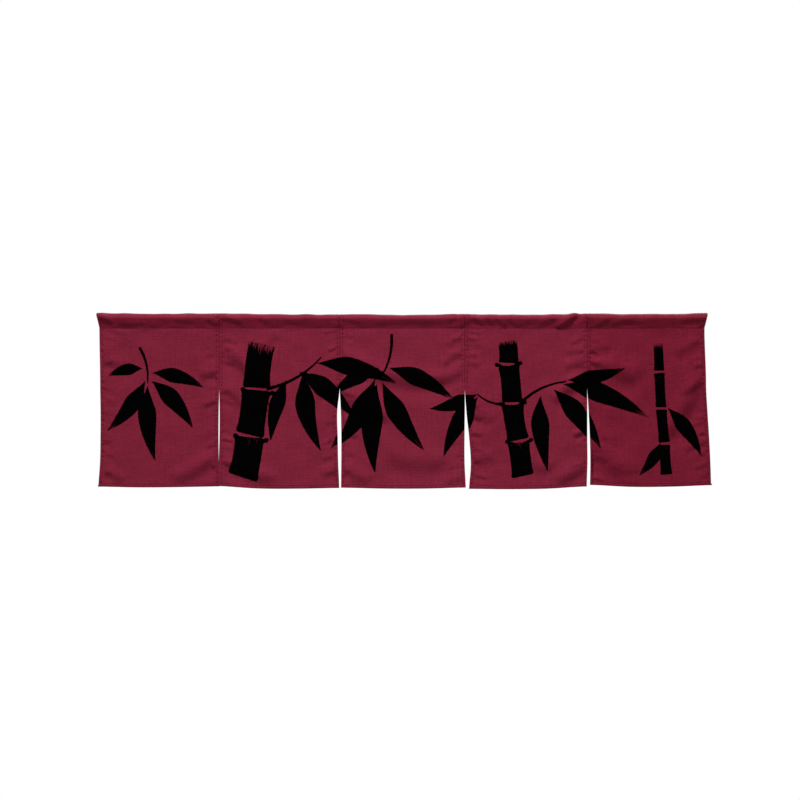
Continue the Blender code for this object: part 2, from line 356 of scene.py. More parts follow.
STEM_CORNER = 0.3
JOINT_WAIST = 0.45
TWIG_TAPER = 0.45
DRY_FROM = 0.62

# Edge of the ink, and the bristle marks where the brush ran dry
INK_SOFTNESS = 0.3
INK_RAGGEDNESS = 3.4
INK_RAGGED_SCALE = 190.0
BRISTLE_SCALE_ALONG = 0.014
BRISTLE_SCALE_ACROSS = 0.55
BRISTLE_DETAIL = 4.0
BRISTLE_ROUGHNESS = 0.6
WORN_EDGE = 5.0
DRY_GAPS = 0.5
GAP_LIMITS = (0.73, 0.79)

# Stitching
STITCH_PITCH = 5.2
STITCH_LENGTH = 3.7
THREAD_RADIUS = 0.36
THREAD_PROUD = 0.1
SIDE_ROW = (FOOT_LINE + FOOT_STITCH, STITCH_LINE - 1.5)
HEAD_ROW = (SEAM_LINES[0] + 3.0, SEAM_LINES[-1] - 3.0)
HEAD_STITCH = STITCH_LINE - 1.2
DENT_WIDTH = 2.0
DENT_DEPTH = 0.75
# Painted shade: how much darker the cloth's colour is in the stitch dents.
DENT_PAINTED_SHADE = 0.2
DENT_BEAT = 0.4

# Rings of points round a stitch: place along it, share of the thread's radius, and rise in radii
StitchRing = namedtuple("StitchRing", "along size rise")
STITCH_RINGS = (
    StitchRing(-0.5, 0.45, -1.0),
    StitchRing(-0.32, 1.0, 0.0),
    StitchRing(0.32, 1.0, 0.0),
    StitchRing(0.5, 0.45, -1.0),
)
STITCH_SIDES = 4

# Colours, as linear light
# The panels' colours are the burgundy plus a whitish share of painted sheen, standing in for the shine that
# PANEL_SHINE keeps low.
PANEL_COLOURS_WITH_PAINTED_SHEEN = ((0.129, 0.0107, 0.0238, 1.0), (0.254, 0.0208, 0.0482, 1.0))
SLEEVE_COLOURS = ((0.124, 0.0027, 0.0155, 1.0), (0.248, 0.0068, 0.0330, 1.0))
PANEL_SHINE = 0.01
SLEEVE_SHINE = 0.15
CLOTH_ROUGHNESS = 0.62
# Per panel: a painted light and shade tone, lighter on the middle panels and darker on the last, and how far
# its colour takes the deeper, more saturated red of painted shade (the share of green and blue kept).
PANEL_PAINTED_LIGHT_AND_SHADE = (0.0, 0.03, 0.05, 0.01, -0.13)
PANEL_PAINTED_SHADE_DEPTHS = (0.1, 0.0, 0.0, 0.1, 0.7)
PAINTED_SHADE_TINT = (1.0, 0.72, 0.83, 1.0)
SLUB_TONE = 0.75
MOTTLE_TONE = 0.5
BLOTCH_TONE = 0.2
# Painted shade: the weave's hollows darker than its yarn tops.
WEAVE_PAINTED_SHADE = 0.3
INK = (0.0006, 0.0005, 0.0006, 1.0)
# The thread is darker than the cloth: partly its own colour, partly painted shade of the holes and pulls
# round each stitch.
THREAD_DARK_WITH_PAINTED_SHADE = (0.080, 0.0055, 0.0145, 1.0)
THREAD_LIGHT_WITH_PAINTED_SHADE = (0.140, 0.0100, 0.0260, 1.0)
THREAD_ROUGHNESS = 0.7
THREAD_SHINE = 0.05
FLOOR_COLOUR = (0.84, 0.84, 0.83, 1.0)
FLOOR_ROUGHNESS = 0.9
BACK_PRINT_STRENGTH = 0.3

# Textures: how fine they are, on the flat cloth in metres, and the relief that they give
YARN_PITCH = 0.00055
WEFT_SLUB_SCALE = (16.0, 360.0, 1.0)
WARP_SLUB_SCALE = (380.0, 12.0, 1.0)
MOTTLE_SCALE = 110.0
BLOTCH_SCALE = 12.0
WEAVE_RELIEF = 0.16
SLUB_RELIEF = 0.5
MOTTLE_RELIEF = 1.1
RELIEF_HEIGHT = 0.001
MOTTLE_ROUGHNESS = 0.1
TWIST_SCALE = 900.0
TWIST_RELIEF = 0.3
TWIST_HEIGHT = 0.0001
BAKE_MARGIN = 0.004

# Camera: far off and level, on the middle of the picture
PICTURE_PIXELS = 800
PICTURE_MM_PER_PIXEL = 2.869
CAMERA_X = -5.7
CAMERA_Z = -244.2
CAMERA_DISTANCE = 12.0
CAMERA_REACH = 60.0
SENSOR_WIDTH = 36.0
FLOOR_Z = -1.95
FLOOR_RADIUS = 1.6
FLOOR_SIDES = 96

# Lights: a soft key from the front and above, a little to the left; a weak fill; and a key for the back
Light = namedtuple("Light", "name place size power")
LIGHTS = (
    Light("key", (-0.84, -5.28, 7.1), (2.8, 1.96), 860.0),
    Light("fill", (1.2, -4.2, 0.4), (3.0, 2.0), 16.0),
    Light("back_key", (1.0, 4.3, 4.4), (2.2, 1.6), 200.0),
)
LIT_PLACE = (0.0, 0.0, -0.25)
AMBIENT_BELOW_AND_ABOVE = (0.11, 0.38)
AMBIENT_BLEND = 0.3


def ease(value):
    """0 below 0, 1 above 1, and a smooth rise between."""
    value = np.clip(value, 0.0, 1.0)
    return value * value * (3.0 - 2.0 * value)


def curve_through(values, share):
    """The height at share (0 to 1) of a smooth curve through evenly spaced values."""
    values = np.asarray(values, float)
    last = len(values) - 1
    place = np.clip(share, 0.0, 1.0) * last
    start = np.minimum(np.asarray(place).astype(int), last - 1)
    t = place - start
    before = values[np.maximum(start - 1, 0)]
    first, second = values[start], values[start + 1]
    after = values[np.minimum(start + 2, last)]
    return 0.5 * (2.0 * first + (second - before) * t
                  + (2.0 * before - 5.0 * first + 4.0 * second - after) * t ** 2
                  + (3.0 * (first - second) + after - before) * t ** 3)


def top_edge_height(x):
    height = np.full(np.shape(x), TOP_EDGE[0].height)
    for left, right in zip(TOP_EDGE, TOP_EDGE[1:]):
        share = (x - left.x) / (right.x - left.x)
        height = np.where(share > 0.0, left.height + (right.height - left.height) * ease(share), height)
    return height


def edge_x(seam, stray, inward, level):
    """Where a panel's edge is at a height. inward is 1 for a left edge and -1 for a right one."""
    drop = (SLIT_TOP - level) / (SLIT_TOP - FOOT_LINE)
    sewn = ease((STITCH_LINE - level) / (STITCH_LINE - SLIT_TOP)) * stray.slit_top
    overlap = -inward * SEAM_OVERLAP if stray.slit_top == 0.0 else 0.0
    return seam + overlap + np.where(level >= SLIT_TOP, sewn, curve_through(stray, drop))


def fold_offset(fold, x, z):
    """How far one fold moves the cloth back at each point."""
    run_x, run_z = fold.right_x - fold.left_x, fold.right_z - fold.left_z
    length = math.hypot(run_x, run_z)
    from_x, from_z = x - fold.left_x, z - fold.left_z
    along = (from_x * run_x + from_z * run_z) / length ** 2
    below = (from_x * run_z - from_z * run_x) / length
    below = below - fold.bend * 4.0 * along * (1.0 - along)
    strength = ease((along + FOLD_FADE / 2.0) / FOLD_FADE) * ease((1.0 + FOLD_FADE / 2.0 - along) / FOLD_FADE)
    return fold.depth * strength * below / fold.reach * np.exp(0.5 - 0.5 * (below / fold.reach) ** 2)


def pucker_folds(panel):
    """The small folds beside a panel's hems: they start at the stitching and fall away from it."""
    random = np.random.default_rng(PUCKER_SEED + panel)
    folds = []
    for heights, stray, seam, inward in (
        (LEFT_PUCKERS[panel - 1], LEFT_EDGES[panel - 1], SEAM_LINES[panel - 1], 1.0),
        (RIGHT_PUCKERS[panel - 1], RIGHT_EDGES[panel - 1], SEAM_LINES[panel], -1.0),
    ):
        for height in heights:
            start = SIDE_STITCH + random.uniform(*PUCKER_STARTS)
            near = float(edge_x(seam, stray, inward, height)) + inward * start
            length = random.uniform(*PUCKER_LENGTHS)
            far = near + inward * length
            fall = length * random.uniform(*PUCKER_FALLS)
            reach = random.uniform(*PUCKER_REACHES)
            depth = PUCKER_DEPTHS[0] + (PUCKER_DEPTHS[1] - PUCKER_DEPTHS[0]) * random.uniform() ** 2
            ends = ((near, height), (far, height - fall))
            (left_x, left_z), (right_x, right_z) = sorted(ends)
            folds.append(Fold(panel, left_x, left_z, right_x, right_z, 0.0, reach, depth))
    return folds


def ripple(x, z):
    """A slight unevenness all over the cloth."""
    random = np.random.default_rng(RIPPLE_SEED)
    total = np.zeros(np.shape(x))
    for _ in range(RIPPLE_WAVES):
        angle = random.uniform(0.0, math.pi)
        wave = 2.0 * math.pi / random.uniform(*RIPPLE_LENGTHS)
        phase = random.uniform(0.0, 2.0 * math.pi)
        total = total + np.sin(wave * (x * math.cos(angle) + z * math.sin(angle)) + phase)
    return total * RIPPLE_HEIGHT


def stitch_pull(distance, run, row):
    """How far the thread draws the cloth in beside a stitch row: dimples of uneven depth along the row."""
    drift = np.sin(2.0 * math.pi * run / DRIFT_PITCH + DRIFT_PHASE * row)
    swell = np.sin(2.0 * math.pi * run / SWELL_PITCH + SWELL_PHASE * row)
    beat = np.sin(2.0 * math.pi * run / BEAT_PITCH + row + DRIFT_SHARE * drift)
    uneven = (0.5 + 0.5 * beat) ** 3 * (SWELL_LEVEL + SWELL_SHARE * swell)
    reach = np.where(distance < SIDE_STITCH, DIMPLE_REACH_TO_EDGE, DIMPLE_REACH_TO_CLOTH)
    return DIMPLE_DEPTH * uneven * np.exp(-((distance - SIDE_STITCH) / reach) ** 2)


def seam_crevice(number, from_left, from_right):
    """How far a panel goes back into the seams with its neighbours, by the distances to its two edges."""
    from_left = from_left + FAR_FROM_SEAM * (number == 1)
    from_right = from_right + FAR_FROM_SEAM * (number == len(HANGS))
    return SEAM_DEPTH * np.exp(-(np.minimum(from_left, from_right) / SEAM_WIDTH) ** 2)


def head_pull(x, level):
    """How far back the panels' heads are drawn by their hems' stitching and their seams."""
    number = np.clip(np.searchsorted(SEAM_LINES, x), 1, len(HANGS))
    lines = np.array(SEAM_LINES)
    from_left, from_right = x - lines[number - 1], lines[number] - x
    row = 2.0 * number + (from_left > from_right)
    pull = stitch_pull(np.minimum(from_left, from_right), level, row)
    return pull + seam_crevice(number, from_left, from_right)


def edge_profile(distance, curl):
    """Front offset and thickness of the cloth at a distance from its edge: a rounded, sewn-down hem."""
    inside = np.clip(1.0 - distance / EDGE_ROUND, 0.0, EDGE_ROUND_LIMIT)
    rounding = HEM / 2.0 * (1.0 - np.sqrt(1.0 - inside ** 2))
    groove = STITCH_GROOVE * np.exp(-((distance - SIDE_STITCH) / STITCH_GROOVE_WIDTH) ** 2)
    back_curl = EDGE_CURL * curl * np.clip(1.0 - distance / EDGE_CURL_RUN, 0.0, 1.0) ** 2
    in_hem = 1.0 - ease((distance - HEM_LEDGE) / HEM_LEDGE_RUN)
    thickness = CLOTH + (HEM - CLOTH) * in_hem
    return rounding + groove + back_curl - HEM_PROUD * in_hem, thickness - 2.0 * rounding


class Panel:
    """One panel's surface, by its own flat sizes."""

    def __init__(self, number):
        self.number = number
        self.left_line, self.right_line = SEAM_LINES[number - 1], SEAM_LINES[number]
        self.folds = [fold for fold in FOLDS + SMALL_FOLDS if fold.panel == number] + pucker_folds(number)
        self.is_first, self.is_last = number == 1, number == len(HANGS)

    def edges(self, level):
        left = edge_x(self.left_line, LEFT_EDGES[self.number - 1], 1.0, level)
        right = edge_x(self.right_line, RIGHT_EDGES[self.number - 1], -1.0, level)
        ear = ease((FOOT_LINE + EAR_HEIGHT - level) / EAR_HEIGHT) ** 2
        if self.is_first:
            left = left + LEFT_EAR * ear
        if self.is_last:
            right = right + RIGHT_EAR * ear
        return left, right

    def surface(self, across, level):
        """Front and back points at a distance from the left edge and a flat height, as arrays of x, y, z."""
        left, right = self.edges(level)
        width = right - left
        x = left + across
        share = across / width
        drop = (STITCH_LINE - level) / (STITCH_LINE - FOOT_LINE)
        free = ease((SLIT_TOP - level) / (SLIT_TOP - FOOT_LINE))
        foot = curve_through(FEET[self.number - 1], share)
        z = level + foot * ease(drop)
        side = np.minimum(across, width - across)
        edge = np.minimum(side, level - FOOT_LINE + SIDE_STITCH - FOOT_STITCH)

        hang = HANGS[self.number - 1]
        left_free = ease(drop) if self.is_first else free
        right_free = ease(drop) if self.is_last else free
        y = hang.left * left_free * (1.0 - share) * (1.0 - 2.0 * share)
        y = y + hang.middle * ease(drop) * 4.0 * share * (1.0 - share)
        y = y + hang.right * right_free * share * (2.0 * share - 1.0)
        folds = sum(fold_offset(fold, x, z) for fold in self.folds) + ripple(x, z)
        head = ease((STITCH_LINE - level) / FOLD_CLEAR_OF_EDGE)
        y = y + folds * head * ease(side / FOLD_CLEAR_OF_EDGE)

        at_foot = level - FOOT_LINE < side
        curl = np.where(at_foot, 1.0, SEWN_CURL + (1.0 - SEWN_CURL) * free)
        front, thickness = edge_profile(edge, curl)
        row = 2.0 * self.number + (across > width / 2.0)
        pull = np.where(at_foot, FOOT_PULL * stitch_pull(edge, x, row), stitch_pull(side, level, row))
        crevice = seam_crevice(self.number, across, width - across)
        y = y + FRONT_Y + pull + crevice * ease((level - SLIT_TOP) / SEAM_FADE)
        return np.stack([x, y + front, z], -1), np.stack([x, y + front + thickness, z], -1)


def stops(length, hem_first, hem_last, step=GRID_STEP):
    """Distances from one edge to the other: fine over the hems, even between them."""
    start = HEM_STOPS[-1] if hem_first else 0.0
    end = length - (HEM_STOPS[-1] if hem_last else 0.0)
    count = max(2, round((end - start) / step))
    inner = np.linspace(start, end, count + 1)
    first = HEM_STOPS[:-1] if hem_first else ()
    last = [length - stop for stop in reversed(HEM_STOPS[:-1])] if hem_last else []
    return np.array([*first, *inner, *last])


def sheet_faces(rows, columns):
    """Quads of a closed sheet's front, back and rim. Its front grid's points come before its back grid's."""
    index = np.arange(rows * columns).reshape(rows, columns)
    top_left, top_right = index[:-1, :-1], index[:-1, 1:]
    low_left, low_right = index[1:, :-1], index[1:, 1:]
    front = np.stack([low_left, low_right, top_right, top_left], -1).reshape(-1, 4)
    back = front[:, ::-1] + rows * columns
    behind = index + rows * columns
    rims = [
        (index[0, :-1], index[0, 1:], behind[0, 1:], behind[0, :-1]),
        (index[-1, 1:], index[-1, :-1], behind[-1, :-1], behind[-1, 1:]),
        (index[:-1, 0], behind[:-1, 0], behind[1:, 0], index[1:, 0]),
        (index[1:, -1], behind[1:, -1], behind[:-1, -1], index[:-1, -1]),
    ]
    rim = np.concatenate([np.stack(corners, -1) for corners in rims])
    return front, back, rim


def make_mesh(name, points, faces, materials):
    """A mesh from points in millimetres and quads."""
    mesh = bpy.data.meshes.new(name)
    mesh.from_pydata((points.reshape(-1, 3) * MM).tolist(), [], faces.tolist())
    for material in materials:
        mesh.materials.append(material)
    return mesh


def show_mesh(name, mesh):
    mesh.shade_smooth()
    mesh.update()
    made = bpy.data.objects.new(name, mesh)
    bpy.context.scene.collection.objects.link(made)
    return made


def make_sheet(name, front, back, flat, materials):
    """An object from two grids of points. flat is the grid of the cloth's own flat (u, v), in millimetres."""
    rows, columns = front.shape[:2]
    faces_front, faces_back, faces_rim = sheet_faces(rows, columns)
    faces = np.concatenate([faces_front, faces_back, faces_rim])
    mesh = make_mesh(name, np.concatenate([front, back]), faces, materials)
    kinds = np.concatenate([
        np.zeros(len(faces_front), int),
        np.full(len(faces_back), len(materials) - 1),
        np.zeros(len(faces_rim), int),
    ])
    mesh.polygons.foreach_set("material_index", kinds)
    add_maps(mesh, faces, flat, len(faces_front), len(faces_back))
    return show_mesh(name, mesh)


def add_maps(mesh, faces, flat, front_count, back_count):
    """The cloth's flat map in metres, and the map for baking, whose left half is the front."""
    corners = faces.reshape(-1)
    flat_points = flat.reshape(-1, 2)
    grid_size = len(flat_points)
    on_back = corners >= grid_size
    here = flat_points[corners % grid_size]
    cloth_map = mesh.uv_layers.new(name="Cloth")
    cloth_map.data.foreach_set("uv", (here * MM).reshape(-1))
    low, high = flat_points.min(0), flat_points.max(0)
    unit = (here - low) / (high - low)
    rim_first = 4 * (front_count + back_count)
    is_rim = np.arange(len(corners)) >= rim_first
    unit = np.where((is_rim & on_back)[:, None], unit + np.sign(0.5 - unit) * BAKE_MARGIN, unit)
    half = np.where(on_back & ~is_rim, 0.5, 0.0)
    baked = np.stack([
        half + BAKE_MARGIN + unit[:, 0] * (0.5 - 2.0 * BAKE_MARGIN),
        BAKE_MARGIN + unit[:, 1] * (1.0 - 2.0 * BAKE_MARGIN),
    ], -1)
    bake_map = mesh.uv_layers.new(name="OFBake")
    bake_map.data.foreach_set("uv", baked.reshape(-1))
    mesh.uv_layers.active = bake_map


def leaf_width(t):
    """Half width of a leaf along its length: a swell, then a long taper to a point."""
    swell = ease(t / LEAF_SHOULDER) ** LEAF_SWELL
    taper = 1.0 - np.clip((t - LEAF_SHOULDER) / (1.0 - LEAF_SHOULDER), 0.0, 1.0) ** LEAF_TAPER
    return swell * taper


def stroke_line(stroke):
    """Points along a stroke's middle."""
    t = np.linspace(0.0, 1.0, STROKE_SAMPLES)
    angle = math.radians(stroke.angle)
    direction = np.array([math.cos(angle), math.sin(angle)])
    left = np.array([-direction[1], direction[0]])
    start = np.array([stroke.x, stroke.z])
    along = start + np.outer(t * stroke.length, direction)
    return along + np.outer(4.0 * stroke.bend * t * (1.0 - t), left)


def nearer(one, other):
    """Of two rows of values, each headed by a distance, the values of whichever is nearer at each point."""
    closer = other[0] < one[0]
    return [np.where(closer, theirs, ours) for ours, theirs in zip(one, other)]


def step_distance(line, i, x, z):
    """Distance to one step of a line, the share of the line up to there, and how far to its left."""
    run = line[i + 1] - line[i]
    length = math.hypot(*run)
    last = len(line) - 2
    from_x, from_z = x - line[i][0], z - line[i][1]
    share = (from_x * run[0] + from_z * run[1]) / length ** 2
    beyond = (i == 0) * np.minimum(share, 0.0) + (i == last) * np.maximum(share - 1.0, 0.0)
    held = np.clip(share, 0.0, 1.0)
    away = np.hypot(from_x - held * run[0], from_z - held * run[1])
    side = (from_z * run[0] - from_x * run[1]) / length
    return away, (i + held + beyond) / (last + 1), side


def stroke_distance(stroke, x, z):
    """Distance to a stroke's edge, less than 0 inside; the place along and across it; and how dry it is."""
    line = stroke_line(stroke)
    steps = (step_distance(line, i, x, z) for i in range(len(line) - 1))
    best, along, across = reduce(nearer, steps)
    t = np.clip(along, 0.0, 1.0)
    half = stroke.width / 2.0
    if stroke.kind == "stem":
        waist = half * (1.0 + STEM_FLARE * (2.0 * t - 1.0) ** 4)
        past_end = (np.abs(along - 0.5) - 0.5) * stroke.length
        corner = half * STEM_CORNER
        over_x = np.abs(across) - waist + corner
        over_z = past_end + corner
        outside = np.hypot(np.maximum(over_x, 0.0), np.maximum(over_z, 0.0))
        distance = outside + np.minimum(np.maximum(over_x, over_z), 0.0) - corner
    elif stroke.kind == "leaf":
        distance = best - half * leaf_width(t)
    elif stroke.kind == "joint":
        distance = best - half * (JOINT_WAIST + (1.0 - JOINT_WAIST) * (2.0 * t - 1.0) ** 2)
    else:
        distance = best - half * (1.0 - TWIG_TAPER * t)
    return distance, t * stroke.length, across, stroke.dry * ease((t - DRY_FROM) / (1.0 - DRY_FROM))


def print_attributes(mesh, flat):
    """How far each point of the cloth is from the ink's edge, and where it lies in its stroke."""
    nearest = reduce(nearer, (stroke_distance(stroke, flat[..., 0], flat[..., 1]) for stroke in STROKES))
    set_on_both_sides(mesh, ("ink_distance", "ink_along", "ink_across", "ink_dry"), nearest)


def set_attribute(mesh, name, values):
    attribute = mesh.attributes.new(name, "FLOAT", "POINT")
    attribute.data.foreach_set("value", values.astype(np.float32))


def set_on_both_sides(mesh, names, grids):
    """Attributes that are the same on a sheet's front grid and on its back grid."""
    for name, grid in zip(names, grids):
        set_attribute(mesh, name, np.concatenate([grid.reshape(-1)] * 2))


def painted_light_and_shade_attributes(mesh, number):
    """Painted light and shade of one width of cloth: its tone, 0.5 being the middle, and how far its colour
    takes the deeper red of shade.
    """
    set_attribute(mesh, "painted_tone", np.full(len(mesh.vertices), 0.5 + PANEL_PAINTED_LIGHT_AND_SHADE[number - 1]))
    set_attribute(mesh, "painted_shade_depth", np.full(len(mesh.vertices), PANEL_PAINTED_SHADE_DEPTHS[number - 1]))


# A colour with the painted shade tint: less green and blue, the deeper red of shade.
def shade_tinted(colour):
    return tuple(part * share for part, share in zip(colour, PAINTED_SHADE_TINT))


def feed(tree, socket, value):
    """Links a node's output to a socket, or sets the socket to a plain value."""
    if isinstance(value, bpy.types.NodeSocket):
        tree.links.new(value, socket)
    else:
        socket.default_value = value


def add_node(tree, kind, inputs=(), **settings):
    """A node with its settings, whose inputs are given as (socket, value or output) pairs."""
    made = tree.nodes.new(kind)
    for name, value in settings.items():
        setattr(made, name, value)
    for socket, value in inputs:
        feed(tree, made.inputs[socket], value)
    return made


def maths(tree, operation, first, second=0.0, third=0.0):
    inputs = [(0, first), (1, second)] + ([(2, third)] if operation == "MULTIPLY_ADD" else [])
    return add_node(tree, "ShaderNodeMath", inputs, operation=operation).outputs[0]


def ranged(tree, value, low, high, to_low=0.0, to_high=1.0):
    """A smooth step from to_low, where value is low, to to_high, where it is high."""
    inputs = [("Value", value), ("From Min", low), ("From Max", high)]
    inputs += [("To Min", to_low), ("To Max", to_high)]
    made = add_node(tree, "ShaderNodeMapRange", inputs, interpolation_type="SMOOTHSTEP")
    return made.outputs["Result"]


def noise(tree, vector, scale, detail=2.0, roughness=0.5):
    inputs = [("Vector", vector), ("Scale", scale), ("Detail", detail), ("Roughness", roughness)]
    return add_node(tree, "ShaderNodeTexNoise", inputs).outputs["Fac"]


def stretched(tree, vector, scale):
    inputs = [("Vector", vector), ("Scale", scale)]
    return add_node(tree, "ShaderNodeMapping", inputs).outputs["Vector"]


def blend_colours(tree, factor, first, second):
    made = add_node(tree, "ShaderNodeMix", data_type="RGBA")
    for name, value in (("Factor", factor), ("A", first), ("B", second)):
        feed(tree, next(socket for socket in made.inputs if socket.name == name and socket.enabled), value)
    return next(socket for socket in made.outputs if socket.enabled)


def add_bump(tree, shader, height, strength, distance):
    inputs = [("Height", height), ("Strength", strength), ("Distance", distance)]
    bump = add_node(tree, "ShaderNodeBump", inputs)
    tree.links.new(bump.outputs["Normal"], shader.inputs["Normal"])


def new_material(name):
    material = bpy.data.materials.new(name)
    material.use_nodes = True
    return material, material.node_tree, material.node_tree.nodes["Principled BSDF"]


def weave_height(tree, vector):
    """A plain weave's relief: warp and weft yarns going over and under each other."""
    parts = add_node(tree, "ShaderNodeSeparateXYZ", [(0, vector)])
    turns = math.pi / YARN_PITCH
    across = maths(tree, "SINE", maths(tree, "MULTIPLY", parts.outputs["X"], turns))
    down = maths(tree, "SINE", maths(tree, "MULTIPLY", parts.outputs["Y"], turns))
    return maths(tree, "MULTIPLY_ADD", maths(tree, "MULTIPLY", across, down), 0.5, 0.5)


def cloth_material(name, colours, shine, ink_strength=0.0):
    """Plain-woven burgundy cloth with slubs, painted light and shade per panel, painted shade in the weave's
    hollows and in the stitch dents, and the print in black ink if ink_strength isn't 0.
    """
    material, tree, shader = new_material(name)
    cloth = add_node(tree, "ShaderNodeUVMap", uv_map="Cloth").outputs["UV"]
    weft_slubs = noise(tree, stretched(tree, cloth, WEFT_SLUB_SCALE), 1.0, 3.0)
    warp_slubs = noise(tree, stretched(tree, cloth, WARP_SLUB_SCALE), 1.0, 3.0)
    mottle = noise(tree, cloth, MOTTLE_SCALE)
    blotches = noise(tree, cloth, BLOTCH_SCALE)
    weave = weave_height(tree, cloth)
    dent = stitch_dents(tree)
    # The tone starts from the panel's painted light and shade.
    tone = weighted_sum(tree, attribute_value(tree, "painted_tone"), (
        (weft_slubs, SLUB_TONE), (warp_slubs, SLUB_TONE), (mottle, MOTTLE_TONE), (blotches, BLOTCH_TONE),
        # painted shade in the weave's hollows
        (weave, WEAVE_PAINTED_SHADE),
    ))
    # Painted shade: the colour is darker in the stitch dents.
    tone = maths(tree, "SUBTRACT", tone, maths(tree, "MULTIPLY", dent, DENT_PAINTED_SHADE))
    dark, light = colours
    colour = blend_colours(tree, tone, dark, light)
    # Painted shade: the colour turned towards the deeper red of shade, as far as the panel's painted shade
    # depth goes.
    shade_tinted_colour = blend_colours(tree, tone, shade_tinted(dark), shade_tinted(light))
    colour = blend_colours(tree, attribute_value(tree, "painted_shade_depth"), colour, shade_tinted_colour)
    rough = maths(tree, "MULTIPLY_ADD", mottle, MOTTLE_ROUGHNESS, CLOTH_ROUGHNESS - MOTTLE_ROUGHNESS / 2.0)
    if ink_strength:
        ink = maths(tree, "MULTIPLY", ink_mask(tree, cloth), ink_strength)
        colour = blend_colours(tree, ink, colour, INK)
        rough = maths(tree, "MULTIPLY_ADD", ink, 1.0 - CLOTH_ROUGHNESS, rough)
    tree.links.new(colour, shader.inputs["Base Color"])
    tree.links.new(rough, shader.inputs["Roughness"])
    relief = weighted_sum(tree, 0.5, (
        (weave, WEAVE_RELIEF), (weft_slubs, SLUB_RELIEF), (warp_slubs, SLUB_RELIEF), (mottle, MOTTLE_RELIEF),
    ))
    relief = maths(tree, "SUBTRACT", relief, maths(tree, "MULTIPLY", dent, DENT_DEPTH))
    add_bump(tree, shader, relief, 1.0, RELIEF_HEIGHT)
    shader.inputs["Specular IOR Level"].default_value = shine
    material.diffuse_color = light
    return material


def stitch_dents(tree):
    """1 in the middle of each dent that a stitch presses into the cloth, falling to 0 around it."""
    beside = ranged(tree, attribute_value(tree, "stitch_off"), 0.0, DENT_WIDTH, 1.0, 0.0)
    turns = maths(tree, "MULTIPLY", attribute_value(tree, "stitch_along"), 2.0 * math.pi)
    beat = maths(tree, "MULTIPLY_ADD", maths(tree, "COSINE", turns), -DENT_BEAT, 1.0 - DENT_BEAT)
    return maths(tree, "MULTIPLY", beside, beat)


def weighted_sum(tree, base, parts):
    """base plus each part's weight times how far it is above 0.5."""
    total = base
    for value, weight in parts:
        total = maths(tree, "MULTIPLY_ADD", maths(tree, "SUBTRACT", value, 0.5), weight, total)
    return total


def attribute_value(tree, name):
    return add_node(tree, "ShaderNodeAttribute", attribute_name=name).outputs["Fac"]


def ink_mask(tree, cloth):
    """1 in the ink and 0 off it, with a slightly ragged edge and bristle marks where the brush ran dry."""
    distance = attribute_value(tree, "ink_distance")
    dry = attribute_value(tree, "ink_dry")
    place = add_node(tree, "ShaderNodeCombineXYZ", [
        ("X", maths(tree, "MULTIPLY", attribute_value(tree, "ink_along"), BRISTLE_SCALE_ALONG)),
        ("Y", maths(tree, "MULTIPLY", attribute_value(tree, "ink_across"), BRISTLE_SCALE_ACROSS)),
    ]).outputs[0]
    fibres = noise(tree, cloth, INK_RAGGED_SCALE, 3.0)
    ragged = maths(tree, "MULTIPLY_ADD", fibres, INK_RAGGEDNESS, -INK_RAGGEDNESS / 2.0)
    bristle = noise(tree, place, 1.0, BRISTLE_DETAIL, BRISTLE_ROUGHNESS)
    worn_edge = maths(tree, "MULTIPLY", maths(tree, "MULTIPLY", dry, bristle), WORN_EDGE)
    edge = maths(tree, "ADD", maths(tree, "ADD", distance, ragged), worn_edge)
    inside = ranged(tree, edge, INK_SOFTNESS, -INK_SOFTNESS)
    gaps = ranged(tree, maths(tree, "MULTIPLY_ADD", dry, DRY_GAPS, bristle), *GAP_LIMITS)
    return maths(tree, "MULTIPLY", inside, maths(tree, "SUBTRACT", 1.0, gaps))


def thread_material():
    material, tree, shader = new_material("burgundy_thread")
    place = add_node(tree, "ShaderNodeTexCoord").outputs["Object"]
    twist = noise(tree, place, TWIST_SCALE)
    # The thread's colour, darker than the cloth's in part as painted shade of the stitch holes.
    colour = blend_colours(tree, twist, THREAD_DARK_WITH_PAINTED_SHADE, THREAD_LIGHT_WITH_PAINTED_SHADE)
    colour = blend_colours(tree, attribute_value(tree, "inked"), colour, INK)
    tree.links.new(colour, shader.inputs["Base Color"])
    add_bump(tree, shader, twist, TWIST_RELIEF, TWIST_HEIGHT)
    shader.inputs["Roughness"].default_value = THREAD_ROUGHNESS
    shader.inputs["Specular IOR Level"].default_value = THREAD_SHINE
    material.diffuse_color = THREAD_LIGHT_WITH_PAINTED_SHADE
    return material


def panel_grid(panel):
    """The panel's grid as distances across and flat heights."""
    levels = PANEL_HEAD - stops(PANEL_HEAD - FOOT_LINE, False, True, LEVEL_STEP)
    left, right = panel.edges(levels)
    middle_width = float(np.mean(right - left))
    shares = stops(middle_width, True, True) / middle_width
    width = (right - left)[:, None]
    across = shares[None, :] * width
    hem = HEM_STOPS[-1]
    near, far = shares * middle_width, (1.0 - shares) * middle_width
    across = np.where(near < hem, near[None, :], across)
    across = np.where(far < hem, width - far[None, :], across)
    level = np.broadcast_to(levels[:, None], across.shape)
    return across, level, shares


